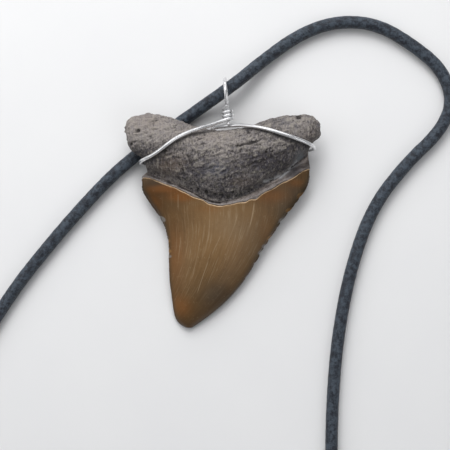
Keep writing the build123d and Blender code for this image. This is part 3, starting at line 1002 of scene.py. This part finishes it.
class Look:
    """One material, made of nodes, with its colour laid on coat by coat."""

    def __init__(self, name, first, **sockets):
        self.material = bpy.data.materials.new(name)
        self.material.use_nodes = True
        self.tree = self.material.node_tree
        self.shader = self.tree.nodes["Principled BSDF"]
        self.place = self.node("TexCoord", out="Object")
        self.paint = first
        for socket, value in sockets.items():
            self.shader.inputs[socket.replace("_", " ")].default_value = value

    def join(self, socket, value):
        """Link an output to a socket, or set its value. A name is a number kept on the mesh."""
        if isinstance(value, str):
            value = self.node("Attribute", out="Fac", attribute_name=value)
        if isinstance(value, bpy.types.NodeSocket):
            self.tree.links.new(value, socket)
        elif value is not None:
            socket.default_value = (*value, 1.0) if socket.type == "RGBA" else value

    def node(self, kind, *inputs, out=0, **settings):
        """A node with its inputs joined in order or by name, and one of its outputs."""
        made = self.tree.nodes.new("ShaderNode" + kind)
        for name, value in settings.items():
            if name in made.inputs:
                self.join(made.inputs[name], value)
            else:
                setattr(made, name, value)
        for socket, value in zip(made.inputs, inputs):
            self.join(socket, value)
        return made.outputs[out]

    def flat(self, x, y):
        """A place made of two numbers."""
        return self.node("CombineXYZ", x, y)

    def scaled(self, by):
        """The place with each axis scaled."""
        return self.node("Mapping", self.place, Scale=by)

    def math(self, operation, *values):
        """One step of reckoning."""
        return self.node("Math", *values, operation=operation)

    def chained(self, operation, first, *others):
        """The same step over several values."""
        for other in others:
            first = self.math(operation, first, other)
        return first

    def plus(self, *values):
        """The sum of the values."""
        return self.chained("ADD", *values)

    def times(self, *values):
        """The product of the values."""
        return self.chained("MULTIPLY", *values)

    def noise(self, scale, detail=3.0, roughness=0.55, place=None):
        """Cloudy noise from 0 to 1."""
        return self.node("TexNoise", place or self.place, None, scale, detail, roughness, out="Fac")

    def ranged(self, value, low, high, to_low=0.0, to_high=1.0):
        """A value's range moved to another, and held inside it."""
        return self.node("MapRange", value, low, high, to_low, to_high, interpolation_type="SMOOTHSTEP")

    def coat(self, share, colour):
        """Turn the colour so far to another, by a share."""
        skipped = [None] * 5
        self.paint = self.node("Mix", share, *skipped, self.paint, colour, out=2, data_type="RGBA")

    def over(self, value, low, high, share, colour):
        """Turn it to another as a value rises from low to high."""
        self.coat(self.ranged(value, low, high, 0.0, share), colour)

    def under(self, value, low, high, share, colour):
        """Turn it to another as a value falls from high to low."""
        self.coat(self.ranged(value, low, high, share, 0.0), colour)

    def roughness(self, value, low, high, least, most):
        """Roughness from least to most as a value rises from low to high."""
        self.join(self.shader.inputs["Roughness"], self.ranged(value, low, high, least, most))

    def bump(self, height, depth, strength=1.0, before=None):
        """Fine relief, with its full depth in millimetres."""
        made = self.node("Bump", Strength=strength, Distance=depth * MM, Height=height, Normal=before)
        self.join(self.shader.inputs["Normal"], made)
        return made

    def on(self, *objects):
        """Give the material to some objects."""
        self.join(self.shader.inputs["Base Color"], self.paint)
        for thing in objects:
            thing.data.materials.clear()
            thing.data.materials.append(self.material)


ridge_colour = (0.36, 0.36, 0.37)


def root_look():
    """Porous stone, with painted shade in its hollows and painted light where it stands proud."""
    look = Look("root_stone", (0.04, 0.035, 0.039), Specular_IOR_Level=0.25)
    speckle = look.noise(2100.0, 2.0, 0.7, look.scaled((1.3, 0.6, 1.0)))
    fine = look.noise(4200.0, 2.0, 0.7)
    blotch = look.noise(900.0, 3.0, 0.7, look.scaled((0.65, 1.35, 1.0)))
    broad = look.noise(190.0)
    tint = look.noise(1300.0, 2.0, 0.6)
    spread = look.ranged("calm", 0.0, 1.0, 2.0, 0.7)
    spotted = look.math("MULTIPLY_ADD", look.math("SUBTRACT", speckle, 0.5), spread, 0.9)
    # The painted tones carry painted light on the root's upper parts and painted shade on its lower sides
    light = look.plus(look.times("tone", 0.65), look.times(blotch, 0.9), look.times(broad, 0.5))
    look.over(look.plus(light, spotted), 1.1, 2.3, 1.0, (0.25, 0.226, 0.212))
    warm = look.plus("warmth", look.times(broad, 0.6))
    look.over(warm, 0.3, 1.2, 0.4, (0.15, 0.1, 0.065))
    # The cool end also lays in the painted bluish sheen on the root's dark middle
    look.under(warm, -0.7, 0.1, 0.5, (0.085, 0.09, 0.115))
    look.over(tint, 0.54, 0.68, 0.22, (0.2, 0.19, 0.13))
    look.under(tint, 0.34, 0.48, 0.3, (0.095, 0.095, 0.115))
    look.over(speckle, 0.6, 0.74, 0.4, (0.36, 0.33, 0.285))
    look.under(speckle, 0.3, 0.42, 0.4, (0.018, 0.016, 0.017))
    # Painted shade in the hollows and painted light on the bits that stand proud
    look.over("hollow", 0.06, 0.34, 0.8, (0.014, 0.012, 0.012))
    look.under("hollow", -0.16, -0.03, 0.4, (0.33, 0.3, 0.265))
    look.coat(look.times("patch", 0.85), (0.15, 0.165, 0.18))
    look.coat(look.times("ridge", 0.85), ridge_colour)
    # Painted shadow of the wire, dark on the root just below each strand
    look.coat(look.times("grime", 0.6), (0.02, 0.019, 0.022))
    look.roughness(blotch, 0.3, 0.8, 0.6, 0.85)
    coarse = look.bump(blotch, 0.45, 0.9)
    look.bump(look.plus(speckle, look.times(fine, 0.5)), 0.3, 1.0, coarse)
    look.on(root)


def bourlette_look():
    """Dark pitted stone, paler along its seam with the enamel."""
    look = Look("bourlette_stone", (0.115, 0.095, 0.088), Specular_IOR_Level=0.3)
    speckle = look.noise(2500.0, 3.0, 0.75)
    blotch = look.noise(700.0, 3.0, 0.65)
    look.over(blotch, 0.3, 0.75, 1.0, (0.36, 0.305, 0.275))
    look.over(speckle, 0.56, 0.72, 0.55, (0.36, 0.32, 0.28))
    look.under(speckle, 0.3, 0.46, 0.6, (0.02, 0.018, 0.018))
    seam = look.ranged("along", 0.1, 0.6, 0.75, 0.0)
    look.coat(look.times(seam, look.ranged(blotch, 0.35, 0.6, 0.35, 1.0)), (0.29, 0.265, 0.26))
    # Painted light on the raised grain and painted shade in the pits, the crease and the grain
    look.under("hollow", -0.12, 0.06, 0.85, (0.33, 0.3, 0.285))
    look.over("hollow", 0.18, 0.44, 0.8, (0.024, 0.021, 0.021))
    # Painted shade on the flat face at the bourlette's right end
    look.over("facet_shade", 0.1, 1.1, 0.8, (0.062, 0.056, 0.06))
    look.coat(look.times("ridge", 0.85), ridge_colour)
    look.roughness(blotch, 0.3, 0.8, 0.5, 0.75)
    look.bump(look.plus(speckle, blotch), 0.25, 0.9)
    look.on(bourlette)


def streaked(look):
    """The few pale streaks that stand out, from 0 to 1."""
    lines = []
    for s in STREAKS:
        lean = (s.top_across - s.low_across) / (s.top_along - s.low_along)
        middle = look.math("MULTIPLY_ADD", "along", lean, s.low_across - lean * s.low_along)
        away = look.math("ABSOLUTE", look.math("SUBTRACT", "across", middle))
        line = look.ranged(away, s.width * 0.4, s.width, s.strength, 0.0)
        begin = look.ranged("along", s.low_along, s.low_along + 0.06)
        end = look.ranged("along", s.top_along - 0.04, s.top_along, 1.0, 0.0)
        lines.append(look.times(line, begin, end))
    return look.chained("MAXIMUM", *lines)


def enamel_look():
    """Brown enamel with fine pale fibres, stained at its edges, and a pale line along its top."""
    look = Look("enamel", (0.052, 0.027, 0.009), Specular_IOR_Level=0.24)
    streak = look.noise(1.0, 5.0, 0.7, look.flat("fibre", look.times("along", 2.6)))
    thin = look.noise(1.0, 3.0, 0.6, look.flat(look.times("fibre", 2.9), look.times("along", 6.0)))
    cloud = look.noise(130.0, 3.0, 0.5)
    fleck = look.noise(1700.0, 3.0, 0.7)
    # The painted tones include the painted soft highlight across the crown's middle
    light = look.plus(look.times("tone", 0.8), look.times(cloud, 0.55), look.times(streak, 0.25))
    look.over(light, 0.0, 1.2, 1.0, (0.205, 0.118, 0.05))
    grey = look.ranged("grey", 0.0, 1.0, 0.0, 0.75)
    look.coat(look.times(grey, look.ranged("tone", -0.2, 0.8, 0.25, 1.0)), (0.195, 0.143, 0.088))
    look.coat(look.times(grey, look.ranged("tone", -0.2, 0.5, 0.8, 0.0)), (0.06, 0.048, 0.034))
    warm = look.plus("warmth", look.times(cloud, 0.3))
    look.over(warm, 0.25, 1.1, 0.65, (0.175, 0.063, 0.012))
    middle = look.ranged("tone", -0.05, 0.6, 0.25, 1.0)
    bright = look.times(look.ranged(thin, 0.5, 0.7), look.ranged(streak, 0.36, 0.6))
    look.coat(look.times(bright, middle, 0.42), (0.34, 0.265, 0.17))
    look.under(streak, 0.3, 0.48, 0.2, (0.06, 0.035, 0.014))
    look.coat(look.times(streaked(look), 0.45), (0.45, 0.35, 0.23))
    look.over(fleck, 0.6, 0.75, 0.35, (0.04, 0.024, 0.01))
    look.under(fleck, 0.27, 0.4, 0.25, (0.3, 0.22, 0.13))
    look.under("edge", 0.0, 1.1, 0.6, (0.045, 0.03, 0.014))
    look.over("stain", 0.2, 0.6, 0.6, (0.28, 0.15, 0.05))
    look.under("stain", -0.6, -0.2, 0.8, (0.2, 0.185, 0.17))
    chalk = look.ranged(look.noise(520.0, 2.0, 0.6), 0.3, 0.6, 0.55, 1.0)
    look.coat(look.times(look.ranged("rim", 0.12, 0.26, 1.0, 0.0), chalk), (0.56, 0.4, 0.25))
    look.roughness(streak, 0.3, 0.8, 0.36, 0.48)
    look.bump(look.plus(look.times(thin, 0.6), streak), 0.014, 0.6)
    look.on(crown)


def leather_look():
    """Dark leather with its grain, and a painted blue-grey mottled sheen."""
    look = Look("cord_leather", (0.01, 0.012, 0.018), Specular_IOR_Level=0.35)
    patch = look.noise(800.0, 3.0, 0.7)
    grainy = look.noise(2400.0, 3.0, 0.7)
    mottled_sheen = look.plus(look.times(patch, 0.6), look.times(grainy, 0.4))
    # Painted sheen: blue-grey mottled highlights laid into the leather's colour
    look.over(mottled_sheen, 0.4, 0.6, 1.0, (0.05, 0.064, 0.082))
    # Painted shade in the cord's creases and grain
    look.over("hollow", 0.06, 0.11, 0.6, (0.005, 0.006, 0.01))
    look.roughness(patch, 0.3, 0.8, 0.45, 0.65)
    look.bump(grainy, 0.1, 0.8)
    look.on(cord)


def metal_look(name, roughness, *objects):
    """Bright metal with faint smears."""
    look = Look(name, (0.78, 0.78, 0.79), Metallic=1.0)
    look.over(look.noise(300.0, 3.0, 0.6), 0.35, 0.75, 1.0, (0.92, 0.92, 0.93))
    look.roughness(look.noise(900.0, 3.0, 0.6), 0.3, 0.75, roughness * 0.8, roughness * 1.25)
    look.on(*objects)


root_look()
bourlette_look()
enamel_look()
leather_look()
metal_look("wire_metal", 0.31, wire)
metal_look("bail_metal", 0.28, loop)
metal_look("clasp_metal", 0.28, nodes["clasp"])
nodes["clasp"].data.shade_smooth()


# Floor, lights and camera

ground = 1600.0
sky_colour = (0.95, 0.97, 1.0, 1.0)
sky_strength = 0.3


def floor():
    """The even ground that the necklace lies on."""
    corners = ground * np.array([(-1, -1, 0), (1, -1, 0), (1, 1, 0), (-1, 1, 0)])
    plane = placed("floor", new_mesh("floor", corners, [[0, 1, 2, 3]]))
    look = Look("floor", (0.68, 0.68, 0.69), Roughness=0.9)
    look.coat(look.noise(40.0), (0.72, 0.72, 0.72))
    look.on(plane)


Lamp = namedtuple("Lamp", "name x y z size power shines")
LAMPS = table(
    Lamp,
    ("key", -60, 330, 300, 220, 1.3, False),
    ("window", -60, 330, 300, 520, 1.7, True),
    ("side", -330, 60, 260, 300, 0.35, True),
    ("fill", 260, -220, 320, 300, 0.25, True),
)


def light_up():
    """Soft lamps that face the necklace, and an even sky."""
    for lamp in LAMPS:
        data = bpy.data.lights.new(lamp.name, "AREA")
        data.size = lamp.size * MM
        data.energy = lamp.power
        holder = placed(lamp.name, data)
        holder.visible_glossy = lamp.shines
        holder.location = Vector((lamp.x, lamp.y, lamp.z)) * MM
        holder.rotation_euler = (-holder.location).to_track_quat("-Z", "Y").to_euler()
    world = bpy.data.worlds.new("studio")
    world.use_nodes = True
    sky = world.node_tree.nodes["Background"].inputs
    sky["Color"].default_value = sky_colour
    sky["Strength"].default_value = sky_strength
    bpy.context.scene.world = world


def look_down():
    """The camera, straight above the tooth."""
    data = bpy.data.cameras.new("camera")
    data.lens = camera_lens
    data.sensor_width = sensor_width
    camera = placed("camera", data)
    camera.location = [v * MM for v in camera_place]
    bpy.context.scene.camera = camera


floor()
light_up()
look_down()
bpy.context.scene.view_settings.view_transform = "Standard"

bpy.context.view_layer.update()
